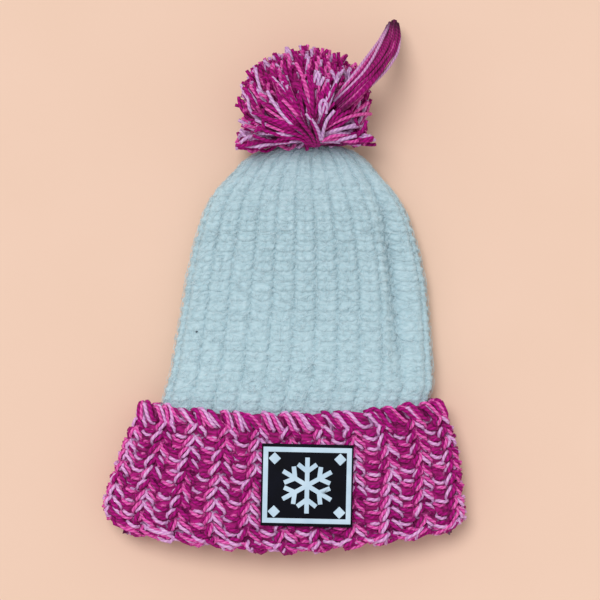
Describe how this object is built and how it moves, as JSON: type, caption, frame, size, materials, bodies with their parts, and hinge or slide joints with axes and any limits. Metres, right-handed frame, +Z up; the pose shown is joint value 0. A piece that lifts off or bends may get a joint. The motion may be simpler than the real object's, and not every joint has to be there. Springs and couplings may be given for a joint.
{
  "type": "pom-pom hat",
  "caption": "Hand-knitted winter hat lying flat on its back: ribbed crown, deep turned-up chunky cuff, yarn pom-pom with a long loose tail, and a small square patch on the cuff.",
  "frame": {"origin": "on the surface that the hat lies on, under the middle of the whole hat, tail included", "axes": "+X to the hat's right as seen from above, +Y from the cuff's fold towards the pom-pom, +Z up from the surface to the front of the hat"},
  "size_m": [0.2388, 0.3484, 0.0735],
  "materials": {
    "cuff_yarn": "chunky knit of magenta, hot pink and pale pink yarns held together, soft and matt",
    "crown_yarn": "soft matt ice-blue knit with a little fuzz",
    "pompom_yarn": "loose cut strands of magenta, hot pink and lilac yarn",
    "patch_base": "near-black soft moulded patch, matt with a faint grain",
    "patch_relief": "pale raised lines, matt"
  },
  "bodies": {
    "root": {"cuff": "cuff_yarn", "crown": "crown_yarn", "pompom": "pompom_yarn", "pompom_tie": "pompom_yarn", "pompom_tail": "pompom_yarn", "patch_base": "patch_base", "patch_frame": "patch_relief", "patch_snowflake": "patch_relief", "patch_diamond_lower_left": "patch_relief", "patch_diamond_lower_right": "patch_relief", "patch_diamond_upper_left": "patch_relief", "patch_diamond_upper_right": "patch_relief"}
  },
  "joints": []
}
